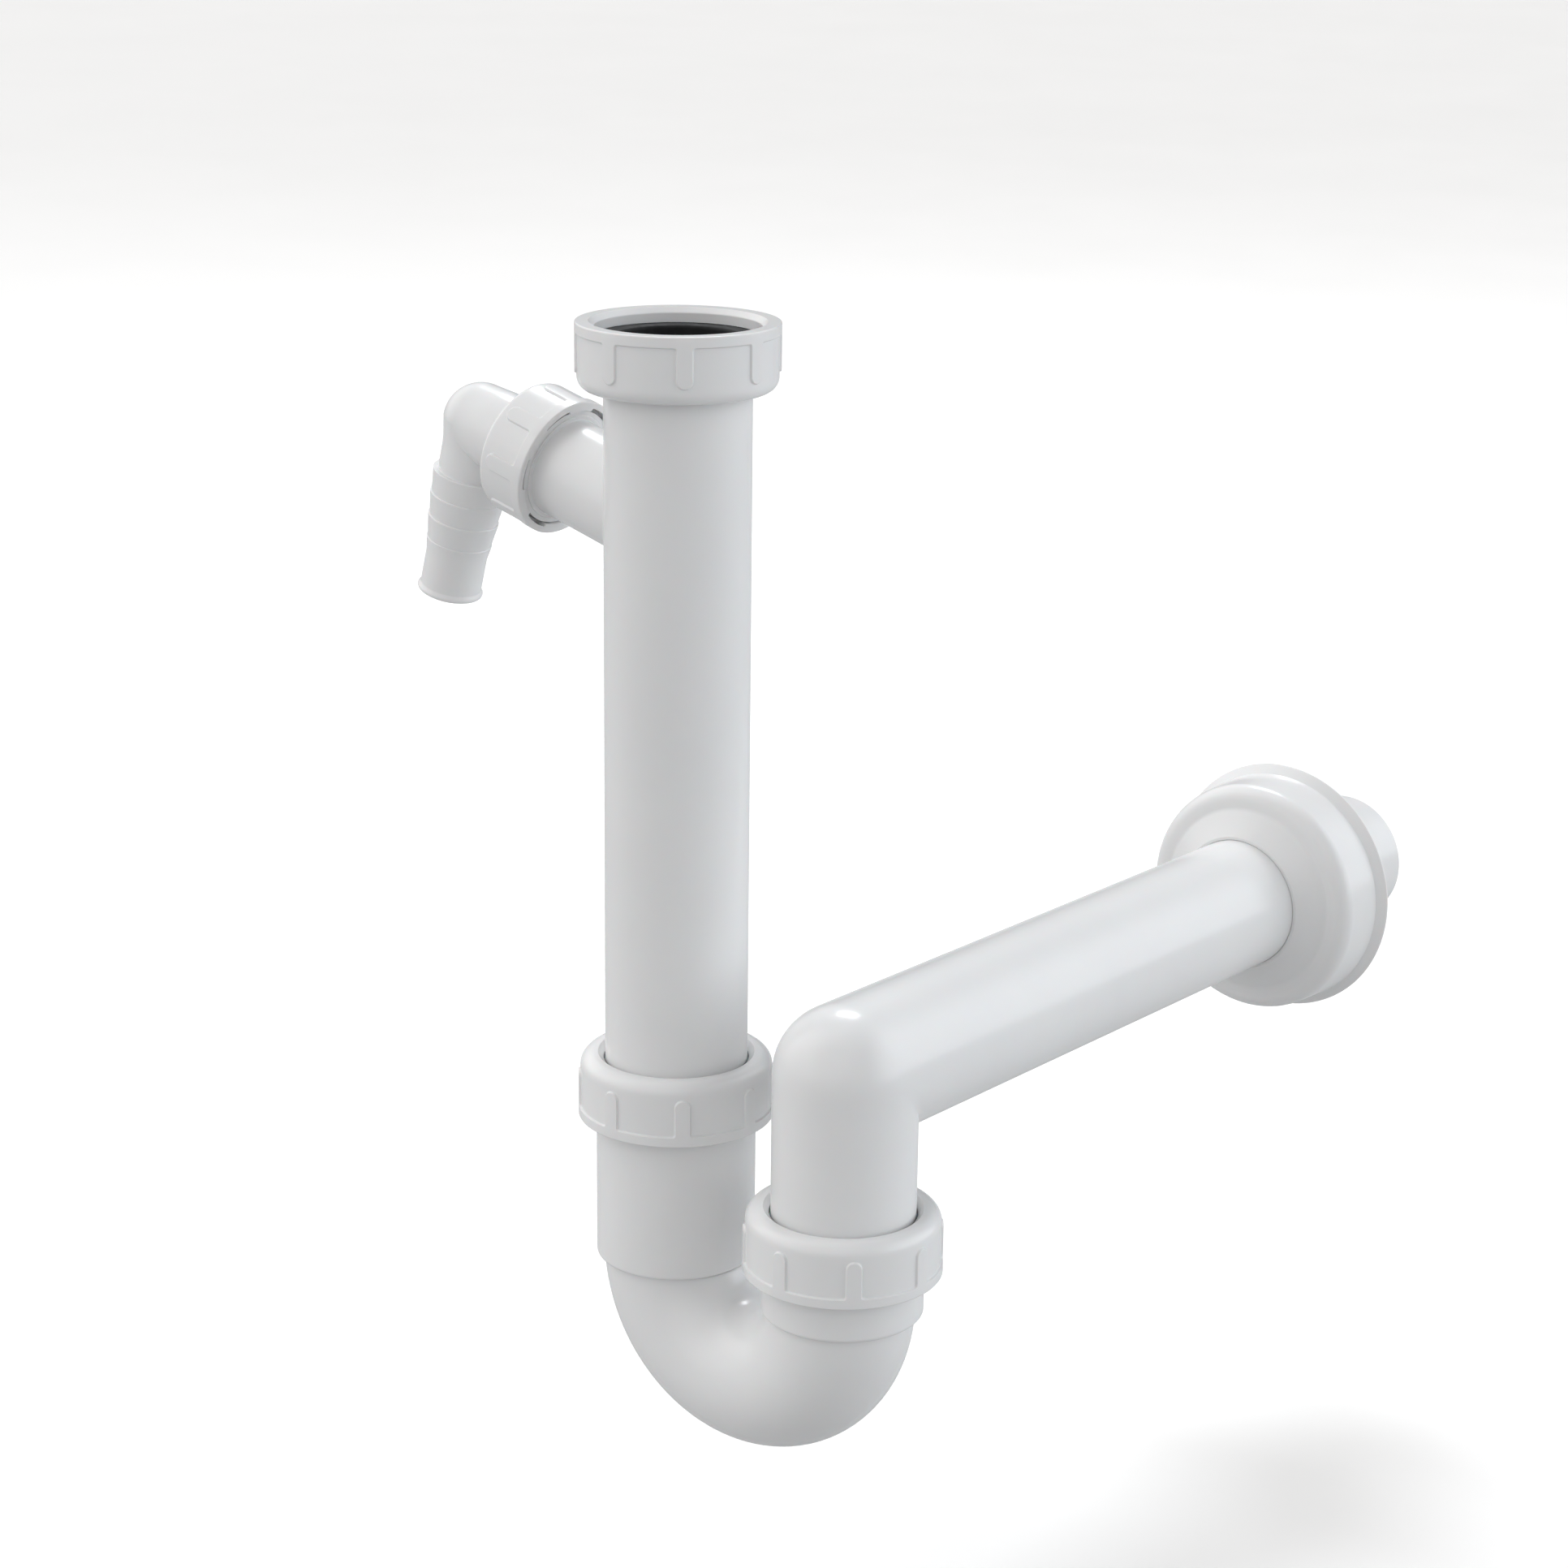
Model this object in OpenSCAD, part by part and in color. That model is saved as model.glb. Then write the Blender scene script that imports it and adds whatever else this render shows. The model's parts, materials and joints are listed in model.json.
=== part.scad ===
// P trap for a wash basin with an appliance branch.
// Inlet union nut at the top, dip tube with a side branch and hose elbow,
// U-bend with two compression joints, outlet pipe to the wall with a cover rosette.
// Units are millimetres. Origin: inlet axis at the rim of the inlet union nut.
// +Z up, +X along the U-bend towards the outlet leg, +Y along the outlet pipe to the wall.

/* [Show] */
// Which sub-part to draw

/* [Tubes] */
// Outside radius of the dip tube and of the outlet pipe
tube_r = 20; // [16:0.5:25]
// Wall thickness of the tubes
tube_wall = 1.8; // [1.2:0.1:3]
// Height of the outlet pipe's axis below the origin
outlet_z = -197.7; // [-260:0.1:-120]
// Length of the outlet pipe from the leg's axis to its free end
outlet_len = 260; // [120:5:400]
// Bottom end of the dip tube
dip_end_z = -252; // [-300:0.5:-225]
// Bottom end of the outlet pipe's leg
leg_end_z = -257; // [-300:0.5:-250]

/* [U-bend] */
// Distance between the two legs of the trap
leg_gap = 60.9; // [50:0.1:90]
// Height of the U-bend's turning centre
bend_z = -264.2; // [-320:0.1:-240]
// Outside radius of the U-bend's tube
bend_r = 20.3; // [16:0.1:26]
// Outside radius of the two sockets
socket_r = 22.5; // [18:0.1:28]
// Lower edge of the sockets
socket_z = -266.7; // [-320:0.1:-240]
// Ledge inside the sockets that a tube end stops on
ledge_z = -262; // [-300:0.1:-240]

/* [Union and compression nuts] */
// Radius of the plain nut wall
nut_r = 27; // [22:0.1:34]
// Radius over the ribs and the band
nut_rib_r = 27.56; // [22.5:0.01:35]
// Height of a nut
nut_h = 18.4; // [12:0.1:30]
// Height of the band at the open end
nut_band_h = 3; // [0:0.1:6]
// Distance from the open end to the tip of a rib
nut_rib_h = 13.7; // [8:0.1:18]
// Width of a rib
nut_rib_w = 4.3; // [2:0.1:8]
// Number of ribs
nut_ribs = 8; // [4:1:16]
// Rounding of the closed end
nut_fillet = 3.8; // [1:0.1:5]
// Bore of the nut, at the crest of its G 1 1/2 thread
nut_bore_r = 22.42; // [18:0.01:28]
// Radius of the lead-in at the open end
nut_mouth_r = 23.9; // [22.5:0.1:26]
// Depth of the lead-in
nut_mouth_h = 1.4; // [0.5:0.1:3]
// Top face of the inlet side compression nut
left_nut_z = -206; // [-240:0.05:-180]
// Top face of the outlet side compression nut
right_nut_z = -236.05; // [-260:0.05:-200]

/* [Inlet] */
// Top of the inlet gasket
gasket_z = -3.9; // [-8:0.1:-1]
// Thickness of the gasket's flange
gasket_t = 3; // [1:0.1:5]
// Radius of the gasket's flange
gasket_r = 22.3; // [21:0.1:22.3]
// Bore radius of the gasket
gasket_bore_r = 16.6; // [12:0.1:17]
// Depth of the gasket's sleeve inside the tube
gasket_skirt = 12; // [0:0.5:20]
// Thickness of the tube's flange
flange_t = 3; // [1.5:0.1:6]
// Radius of the tube's flange
flange_r = 22.2; // [21:0.1:22.3]

/* [Appliance branch] */
// Height where the branch axis meets the dip tube axis
branch_z = -55.84; // [-120:0.01:-45]
// Upward slope of the branch in degrees
branch_up = 15; // [0:1:45]
// Outside radius of the branch
branch_r = 14; // [10:0.1:18]
// Bore radius of the branch
branch_bore_r = 11.8; // [8:0.1:16]
// Distance along the branch to the open face of its nut
cap_t = 41.37; // [36:0.01:60]
// Height of the branch nut
cap_h = 16.5; // [10:0.1:25]
// Plain wall radius of the branch nut
cap_r = 18.95; // [15:0.01:25]
// Radius over the ribs and the band of the branch nut
cap_rib_r = 19.48; // [15.5:0.01:26]
// Bore of the branch nut, at the crest of its G 1 thread
cap_bore_r = 15.15; // [12:0.01:20]
// Height of the band at the branch nut's open end
cap_band_h = 3.2; // [0:0.1:6]
// Distance from the branch nut's open end to the tip of a rib
cap_rib_h = 13.4; // [8:0.1:16]
// Width of a rib of the branch nut
cap_rib_w = 4.6; // [2:0.1:8]
// Rounding of the branch nut's closed end
cap_fillet = 1.8; // [0.5:0.1:3]
// Number of pockets around the branch nut's mouth
cap_pockets = 6; // [3:1:12]
// Angle that a pocket covers
pocket_arc = 30; // [10:1:45]
// Angle where the first pocket starts
pocket_start = 17; // [0:1:60]
// Distance along the branch to the corner of the elbow
elbow_t = 75.83; // [66:0.01:110]
// Outside radius of the elbow's arm
arm_r = 11.5; // [9:0.1:14]
// Radius of the elbow's ball corner
ball_r = 10.8; // [9:0.1:14]
// Bore radius of the elbow's arm
arm_bore_r = 9.6; // [6:0.1:10]
// Bore radius of the hose tail
tail_bore_r = 6.9; // [4:0.1:8]
// Length of the hose tail from the ball corner to its free end
tail_len = 52.95; // [45:0.05:70]

/* [Rosette] */
// Radius of the rosette's wall flange
rosette_r = 39; // [30:0.5:50]
// Depth of the rosette from the wall to the rim of its collar
rosette_h = 25; // [22:0.5:30]
// Distance of the wall plane from the outlet leg's axis
wall_y = 220; // [120:1:340]

/* [Hidden] */
$fn = 96;
tube_in = tube_r - tube_wall;
flange_z = gasket_z - gasket_t;
cut = 1;                                             // how far a cut runs past a face
tube_chamfer = 1;
groove_w = 0.7;                                      // groove of the outlet pipe at the wall plane
groove_r = tube_r - 0.25;
spigot_chamfer = 0.8;
nut_floor = 3.4;                                     // thickness of a nut's closed end
nut_hole_r = tube_r + 0.4;
nut_hole_chamfer = 1.6;
entry_h = 3.8;                                       // open end of the union nut, above the gasket
relief_r = nut_bore_r + 0.25;
male_r = nut_bore_r - 0.05;                          // thread of a socket
male_relief = 0.2;
male_chamfer = 0.3;
mouth_down = 5;                                      // nut's top face to the socket's mouth
socket_in_r = tube_r + 0.25;
socket_chamfer = 1.6;
bend_bore_r = tube_in + 0.2;
ledge_bore_r = tube_in + 0.5;
cone_top_r = 21.65;                                  // seat of the wedge seal, at the mouth
cone_low_r = 20.95;                                  // and at its lower end
seal_h = 6;
seal_in_r = tube_r + 0.03;
seal_gap = 0.07;
ring_in_r = tube_r + 0.1;
ring_r = 22.2;
ring_h = 1.5;
washer_gap = 0.02;
cap_floor = 2.27;
cap_male_r = cap_bore_r - 0.05;                      // thread of the branch
cap_hole_r = arm_r + 0.1;
cap_hole_chamfer = 0.6;
cap_recess_r = 16.75;
cap_recess_h = 4;
pocket_r = 17.65;
pocket_h = 3;
collar_t = cap_t + 0.8;                              // collar of the branch inside the nut's mouth
collar_r = 16.55;
collar_h = 2.8;
cap_seat_r = 15;                                     // washer and flange inside the branch nut
cap_washer_h = 1.5;
male_end_t = cap_t + cap_h - cap_floor - 3.2;        // end of the branch
flange_in_t = male_end_t + 1.56;                     // faces of the elbow's flange
flange_out_t = male_end_t + 3.14;
arm_end_t = 68;
tail_r = 8.75;
// Ledges of the hose tail: distance from the corner, radius before it and radius after it
tail_ledges = [[15.7, 9.65, 11], [22.7, 10.35, 10.7], [29.6, 9.8, 10.15], [36.6, 9.2, 9.4]];
white = [0.93, 0.93, 0.94];
black = [0.06, 0.06, 0.065];
grey = [0.25, 0.25, 0.26];
clear_white = [0.86, 0.88, 0.9];

// Points of a quarter circle around [cx, cy] from angle a0 to a1
function arc(cx, cy, r, a0, a1, n = 8) =
    [for (i = [0:n]) [cx + r * cos(a0 + (a1 - a0) * i / n), cy + r * sin(a0 + (a1 - a0) * i / n)]];

// Outer form of a nut: open end at z = 0, closed end at z = h
module nut_outer(r, rib_r, h, band, rib_h, rib_w, fillet) {
    rotate_extrude()
        polygon(concat([[0, 0], [r, 0]], arc(r - fillet, h - fillet, fillet, 0, 90), [[0, h]]));
    intersection() {
        cylinder(r = rib_r, h = rib_h + 1);
        union() {
            cylinder(r = rib_r + 2, h = band);
            for (k = [0:nut_ribs - 1])
                rotate([0, 0, k * 360 / nut_ribs]) {
                    translate([r - 2, -rib_w / 2, band / 2])
                        cube([4, rib_w, rib_h - rib_w / 2 - band / 2]);
                    translate([r - 2, 0, rib_h - rib_w / 2])
                        rotate([0, 90, 0])
                            cylinder(r = rib_w / 2, h = 4, $fn = 24);
                }
        }
    }
}

// 1 1/2 inch nut, used three times
module big_nut() {
    difference() {
        nut_outer(nut_r, nut_rib_r, nut_h, nut_band_h, nut_rib_h, nut_rib_w, nut_fillet);
        translate([0, 0, -cut])
            cylinder(r = nut_bore_r, h = nut_h - nut_floor + cut);
        translate([0, 0, -0.01])
            cylinder(r1 = nut_mouth_r, r2 = nut_bore_r, h = nut_mouth_h + 0.01);
        cylinder(r = nut_hole_r, h = nut_h + cut);
        translate([0, 0, nut_h - nut_hole_chamfer])
            cylinder(r1 = nut_hole_r, r2 = nut_hole_r + nut_hole_chamfer + 0.01, h = nut_hole_chamfer + 0.01);
    }
}

// 1 inch nut of the branch, with pockets around its mouth
module small_nut() {
    difference() {
        nut_outer(cap_r, cap_rib_r, cap_h, cap_band_h, cap_rib_h, cap_rib_w, cap_fillet);
        translate([0, 0, -cut])
            cylinder(r = cap_bore_r, h = cap_h - cap_floor + cut);
        translate([0, 0, -cut])
            cylinder(r = cap_recess_r, h = cap_recess_h + cut);
        for (k = [0:cap_pockets - 1])
            rotate([0, 0, pocket_start + 360 / cap_pockets * k])
                translate([0, 0, -cut])
                    rotate_extrude(angle = pocket_arc)
                        translate([cap_bore_r, 0])
                            square([pocket_r - cap_bore_r, pocket_h + cut]);
        cylinder(r = cap_hole_r, h = cap_h + cut);
        translate([0, 0, cap_h - cap_hole_chamfer])
            cylinder(r1 = cap_hole_r, r2 = cap_hole_r + cap_hole_chamfer + 0.01, h = cap_hole_chamfer + 0.01);
    }
}

// Ring that keeps the turning nut from dragging the seal; z0 is the nut's top face
module slip_ring(z0) {
    translate([0, 0, z0 - nut_floor - 0.05 - ring_h])
        rotate_extrude()
            polygon([[ring_in_r, 0], [ring_r, 0], [ring_r, ring_h], [ring_in_r, ring_h]]);
}

// Wedge seal in the mouth of a socket; z0 is the nut's top face
module wedge_seal(z0) {
    translate([0, 0, z0 - mouth_down - seal_h])
        rotate_extrude()
            polygon([[seal_in_r, 0], [cone_low_r - seal_gap, 0], [cone_top_r - seal_gap, seal_h - washer_gap],
                     [seal_in_r, seal_h - washer_gap]]);
}

// Outside of a socket; z0 is the nut's top face
module socket_outer(z0) {
    rotate_extrude()
        polygon([[0, socket_z], [socket_r - socket_chamfer, socket_z], [socket_r, socket_z + socket_chamfer],
                 [socket_r, z0 - nut_h - 1], [male_r, z0 - nut_h - 1 + male_relief],
                 [male_r, z0 - mouth_down - male_chamfer], [male_r - male_chamfer, z0 - mouth_down],
                 [0, z0 - mouth_down]]);
}

// Bore of a socket; z0 is the nut's top face
module socket_inner(z0) {
    rotate_extrude()
        polygon([[0, bend_z - 1], [ledge_bore_r, bend_z - 1], [ledge_bore_r, ledge_z],
                 [socket_in_r, ledge_z], [socket_in_r, z0 - mouth_down - seal_h - 0.1],
                 [cone_low_r, z0 - mouth_down - seal_h - 0.1], [cone_top_r, z0 - mouth_down],
                 [cone_top_r, z0], [0, z0]]);
}

module along_branch(t) {
    translate([0, 0, branch_z])
        rotate([0, branch_up - 90, 0])
            translate([0, 0, t])
                children();
}

module along_barb() {
    translate([-elbow_t * cos(branch_up), 0, branch_z + elbow_t * sin(branch_up)])
        rotate([0, 180 + branch_up, 0])
            children();
}

// Tube with its flange, side branch and male thread for the branch nut
module dip_tube() {
    color(white)
        difference() {
            union() {
                translate([0, 0, dip_end_z])
                    rotate_extrude()
                        polygon([[0, 0], [tube_r - tube_chamfer, 0], [tube_r, tube_chamfer],
                                 [tube_r, flange_z - dip_end_z], [0, flange_z - dip_end_z]]);
                translate([0, 0, flange_z - flange_t])
                    cylinder(r = flange_r, h = flange_t);
                along_branch(0)
                    cylinder(r = branch_r, h = male_end_t - 1);
                along_branch(collar_t)
                    cylinder(r = collar_r, h = collar_h);
                along_branch(collar_t + collar_h / 2)
                    cylinder(r = cap_male_r, h = male_end_t - collar_t - collar_h / 2);
            }
            translate([0, 0, dip_end_z - cut])
                cylinder(r = tube_in, h = flange_z - dip_end_z + 2 * cut);
            along_branch(0)
                cylinder(r = branch_bore_r, h = male_end_t + cut);
        }
}

// The thread around the gasket is drawn a little wider than the stretch above it
module inlet_union_nut() {
    color(white)
        difference() {
            rotate([180, 0, 0])
                big_nut();
            translate([0, 0, nut_floor - nut_h])
                cylinder(r = relief_r, h = nut_h - nut_floor - entry_h);
        }
}

// Flat rubber washer with a sleeve that reaches into the tube
module inlet_gasket() {
    color(black)
        rotate_extrude()
            polygon([[gasket_bore_r, flange_z - gasket_skirt], [tube_in - 0.1, flange_z - gasket_skirt],
                     [tube_in - 0.1, flange_z + washer_gap], [gasket_r, flange_z + washer_gap],
                     [gasket_r, gasket_z - 0.4], [gasket_r - 0.4, gasket_z], [gasket_bore_r + 0.8, gasket_z],
                     [gasket_bore_r, gasket_z - 0.8]]);
}

module appliance_union_nut() {
    color(white)
        along_branch(cap_t)
            small_nut();
}

module appliance_gasket() {
    color(black)
        along_branch(male_end_t + 0.03)
            rotate_extrude()
                polygon([[branch_bore_r + 0.2, 0], [cap_seat_r, 0], [cap_seat_r, cap_washer_h],
                         [branch_bore_r + 0.2, cap_washer_h]]);
}

// Swivelling elbow with a stepped hose tail
module appliance_elbow() {
    color(white)
        difference() {
            union() {
                along_branch(0)
                    rotate_extrude()
                        polygon(concat(
                            [[0, flange_in_t], [cap_seat_r, flange_in_t], [cap_seat_r, flange_out_t],
                             [arm_r, flange_out_t], [arm_r, arm_end_t]],
                            arc(0, elbow_t, ball_r, 0, 90, 14)));
                along_barb()
                    rotate_extrude()
                        polygon(concat(
                            [[0, 0], [ball_r - 0.1, 0], [9.7, 7]],
                            [for (s = tail_ledges)
                                each [[s[1], s[0]], [s[2], s[0]], [s[2] + 0.05, s[0] + 0.4]]],
                            [[tail_r, 41], [tail_r, tail_len - 2.35], [tail_r + 0.6, tail_len - 1.95]],
                            arc(tail_r - 0.25, tail_len - 0.9, 0.9, -10, 90, 5), [[0, tail_len]]));
            }
            along_branch(male_end_t)
                cylinder(r = arm_bore_r, h = elbow_t - male_end_t);
            along_barb()
                cylinder(r = tail_bore_r, h = tail_len + cut);
        }
}

// U-bend with its two sockets
module trap_bend() {
    color(white)
        difference() {
            union() {
                translate([leg_gap / 2, 0, bend_z])
                    rotate([90, 0, 0])
                        rotate([0, 0, 180])
                            rotate_extrude(angle = 180)
                                translate([leg_gap / 2, 0])
                                    circle(r = bend_r);
                socket_outer(left_nut_z);
                translate([leg_gap, 0, 0])
                    socket_outer(right_nut_z);
            }
            translate([leg_gap / 2, 0, bend_z])
                rotate([90, 0, 0])
                    rotate([0, 0, 180])
                        rotate_extrude(angle = 180)
                            translate([leg_gap / 2, 0])
                                circle(r = bend_bore_r);
            socket_inner(left_nut_z);
            translate([leg_gap, 0, 0])
                socket_inner(right_nut_z);
        }
}

module inlet_compression_nut() {
    color(white)
        translate([0, 0, left_nut_z - nut_h])
            big_nut();
}

module inlet_slip_ring() {
    color(clear_white)
        slip_ring(left_nut_z);
}

module inlet_wedge_seal() {
    color(grey)
        wedge_seal(left_nut_z);
}

module outlet_compression_nut() {
    color(white)
        translate([leg_gap, 0, right_nut_z - nut_h])
            big_nut();
}

module outlet_slip_ring() {
    color(clear_white)
        translate([leg_gap, 0, 0])
            slip_ring(right_nut_z);
}

module outlet_wedge_seal() {
    color(grey)
        translate([leg_gap, 0, 0])
            wedge_seal(right_nut_z);
}

// Leg, ball corner and straight run, with a shallow groove that marks the wall plane
module outlet_pipe() {
    color(white)
        translate([leg_gap, 0, 0])
            difference() {
                union() {
                    translate([0, 0, leg_end_z])
                        rotate_extrude()
                            polygon([[0, 0], [tube_r - tube_chamfer, 0], [tube_r, tube_chamfer],
                                     [tube_r, outlet_z - leg_end_z], [0, outlet_z - leg_end_z]]);
                    translate([0, 0, outlet_z])
                        sphere(r = tube_r);
                    translate([0, 0, outlet_z])
                        rotate([-90, 0, 0])
                            rotate_extrude()
                                polygon([[0, 0], [tube_r, 0], [tube_r, wall_y - groove_w],
                                         [groove_r, wall_y - groove_w], [groove_r, wall_y], [tube_r, wall_y],
                                         [tube_r, outlet_len - spigot_chamfer],
                                         [tube_r - spigot_chamfer, outlet_len], [0, outlet_len]]);
                }
                translate([0, 0, leg_end_z - cut])
                    cylinder(r = tube_in, h = outlet_z - leg_end_z + cut);
                translate([0, 0, outlet_z])
                    sphere(r = tube_in);
                translate([0, 0, outlet_z])
                    rotate([-90, 0, 0])
                        cylinder(r = tube_in, h = outlet_len + cut);
            }
}

// Cover plate that slides on the outlet pipe up to the wall
module wall_rosette() {
    color(white)
        translate([leg_gap, wall_y, outlet_z])
            rotate([90, 0, 0])
                rotate_extrude()
                    polygon(concat(
                        [[rosette_r, 0], [rosette_r, 0.6], [36.4, 3], [36, 5]],
                        arc(31, 15.6, 4.6, 8, 90, 8),
                        [[29.6, 20], [27.6, 20.6], [21.4, rosette_h - 0.6], [20.9, rosette_h]],
                        [[tube_r + 0.05, rosette_h], [tube_r + 0.05, 18.2], [27, 17.8], [30.6, 18]],
                        arc(30.8, 15.2, 2.8, 85, 5, 6),
                        [[34, 5], [34.4, 1.6], [34.4, 0]]));
}

dip_tube();
inlet_union_nut();
inlet_gasket();
appliance_union_nut();
appliance_gasket();
appliance_elbow();
trap_bend();
inlet_compression_nut();
inlet_slip_ring();
inlet_wedge_seal();
outlet_compression_nut();
outlet_slip_ring();
outlet_wedge_seal();
outlet_pipe();
wall_rosette();
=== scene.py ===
"""P trap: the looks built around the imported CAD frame.

Blender works in metres. Shapes are worked out in millimetres, from the frame's boxes,
joints and mounts plus the moulding details named below, and scaled when they become meshes.
"""
import json
import math

import bmesh
import bpy
import numpy as np
from mathutils import Matrix, Vector

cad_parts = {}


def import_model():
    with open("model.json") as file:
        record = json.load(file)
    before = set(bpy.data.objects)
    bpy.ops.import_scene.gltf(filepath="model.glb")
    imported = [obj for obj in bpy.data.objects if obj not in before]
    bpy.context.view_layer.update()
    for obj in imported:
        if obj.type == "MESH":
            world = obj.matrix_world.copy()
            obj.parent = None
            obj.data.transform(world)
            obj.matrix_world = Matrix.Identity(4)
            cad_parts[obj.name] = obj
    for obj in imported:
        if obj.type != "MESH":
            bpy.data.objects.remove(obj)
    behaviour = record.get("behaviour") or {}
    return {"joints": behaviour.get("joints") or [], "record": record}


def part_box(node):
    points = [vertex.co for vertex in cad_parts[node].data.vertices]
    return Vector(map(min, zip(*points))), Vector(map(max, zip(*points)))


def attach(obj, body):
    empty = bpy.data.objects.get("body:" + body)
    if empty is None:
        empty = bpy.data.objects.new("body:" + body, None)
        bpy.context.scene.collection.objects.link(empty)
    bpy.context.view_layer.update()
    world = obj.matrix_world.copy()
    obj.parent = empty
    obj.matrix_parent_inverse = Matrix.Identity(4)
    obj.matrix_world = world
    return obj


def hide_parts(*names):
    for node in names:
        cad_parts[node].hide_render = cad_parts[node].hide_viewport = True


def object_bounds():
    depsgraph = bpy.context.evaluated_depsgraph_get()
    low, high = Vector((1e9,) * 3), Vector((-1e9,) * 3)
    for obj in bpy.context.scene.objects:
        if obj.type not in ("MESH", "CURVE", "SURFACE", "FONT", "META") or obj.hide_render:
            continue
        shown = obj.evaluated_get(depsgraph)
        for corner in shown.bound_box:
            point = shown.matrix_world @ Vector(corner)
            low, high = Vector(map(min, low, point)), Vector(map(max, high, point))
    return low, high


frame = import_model()
CAD_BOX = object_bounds()

MM = 0.001
TAU = 2 * math.pi
JOINT = {joint["name"]: joint for joint in frame["joints"]}
MOUNT = {mount["name"]: mount for mount in frame["record"]["mounts"]}
BODY = {node: body for body, nodes in frame["record"]["behaviour"]["bodies"].items() for node in nodes}


def span(node, axis):
    """Lowest and highest place of a CAD node along x, y or z, in millimetres."""
    low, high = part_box(node)
    k = "xyz".index(axis)
    return low[k] / MM, high[k] / MM


def middle(node, axis):
    low, high = span(node, axis)
    return (low + high) / 2


def half_width(node, axis):
    low, high = span(node, axis)
    return (high - low) / 2


def joint_place(name):
    return np.array(JOINT[name]["pos_m"]) / MM


# Sizes read from the frame
LEG_X = middle("outlet_pipe", "x")
TUBE_R = half_width("outlet_pipe", "x")
CORNER_Z = span("outlet_pipe", "z")[1] - TUBE_R
PIPE_END_Y = span("outlet_pipe", "y")[1]
LEG_END_Z = span("outlet_pipe", "z")[0]
DIP_END_Z = span("dip_tube", "z")[0]
FLANGE_TOP_Z = span("dip_tube", "z")[1]
FLANGE_R = span("dip_tube", "x")[1]
NUT_H = 2 * half_width("inlet_compression_nut", "z")
NUT_RIB_R = half_width("inlet_compression_nut", "x")
INLET_NUT_TOP = span("inlet_compression_nut", "z")[1]
OUTLET_NUT_TOP = span("outlet_compression_nut", "z")[1]
BORE_R = MOUNT["inlet_thread"]["dims"]["r_mm"]
BRANCH_AXIS = np.array(JOINT["branch_nut_turn"]["axis"])
CAP_OPEN = joint_place("branch_nut_turn")
ELBOW = joint_place("hose_elbow_turn")
TAIL_AXIS = np.array(MOUNT["hose_tail"]["axis"])
ROSETTE_R = half_width("wall_rosette", "x")
WALL_Y = span("wall_rosette", "y")[1]
BEND_LOW_Z = span("trap_bend", "z")[0]
SMALL_NUT_RIB_R = half_width("appliance_union_nut", "y")

# Moulding details, in millimetres
WALL = 1.8                      # of the tubes
TUBE_BORE = TUBE_R - WALL
PITCH = 2.309
THREAD = 1.4                    # depth of a thread
THREAD_GAP = 0.06               # by which a male crest falls short of the nut's groove
THREAD_STEP = 0.17              # between the rows that draw a thread
NUT_FLOOR = 3.4                 # closed end of a large nut
NUT_PLAIN_MOUTH = 3.9           # stretch without thread at the union nut's mouth
MOUTH_DROP = 5.0                # from a compression nut's top to its socket's mouth
SMALL_NUT_H = 16.5
SMALL_NUT_FLOOR = 2.27          # closed end of the branch nut
SMALL_NUT_PACKING = 3.2         # room under it for the washer and the elbow's flange
BRANCH_BORE = 11.8
RING_H = 1.5                    # of the slip rings and the branch washer
RIBS = 8                        # round every nut
RIB_RISE = 0.56
RIB_EDGE = 0.36

# Columns round a piece and round the branch, welding distance in metres, sharp edges in degrees
COLUMNS = 96
BRANCH_COLUMNS = 128
WELD = 1e-6
SHARP = 38

# Tones of the studio
FLOOR_BOUNCE = (0.45, 0.45, 0.45)
WALL_SEEN = (0.9, 0.9, 0.9)
COOL = (0.93, 0.965, 1.0)
NEUTRAL = (1.0, 1.0, 1.0)

# Branch frame: x across and up, y across, z along the branch, from the tube's axis. Names that
# end in _T are distances along the branch: CAP_T to the branch nut's mouth, ELBOW_T to the corner.
BRANCH_Y = np.array([0.0, 1.0, 0.0])
BRANCH_X = np.cross(BRANCH_Y, BRANCH_AXIS)
BRANCH_START = CAP_OPEN - BRANCH_AXIS * (CAP_OPEN[0] / BRANCH_AXIS[0])
CAP_T = float(np.dot(CAP_OPEN - BRANCH_START, BRANCH_AXIS))
ELBOW_T = float(np.dot(ELBOW - BRANCH_START, BRANCH_AXIS))
BRANCH_END_T = CAP_T + SMALL_NUT_H - SMALL_NUT_FLOOR - SMALL_NUT_PACKING


# ---------------------------------------------------------------- shape helpers

def smooth(t):
    t = np.clip(t, 0, 1)
    return t * t * (3 - 2 * t)


def fade(height, low, high, reach):
    """1 between low and high, falling to 0 over reach inside each end."""
    return smooth((height - low) / reach) * smooth((high - height) / reach)


def soft_min(a, b, reach):
    """The smaller of a and b, with the corner between them rounded."""
    near = np.maximum(reach - np.abs(a - b), 0) / reach
    return np.minimum(a, b) - near * near * reach / 4


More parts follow.
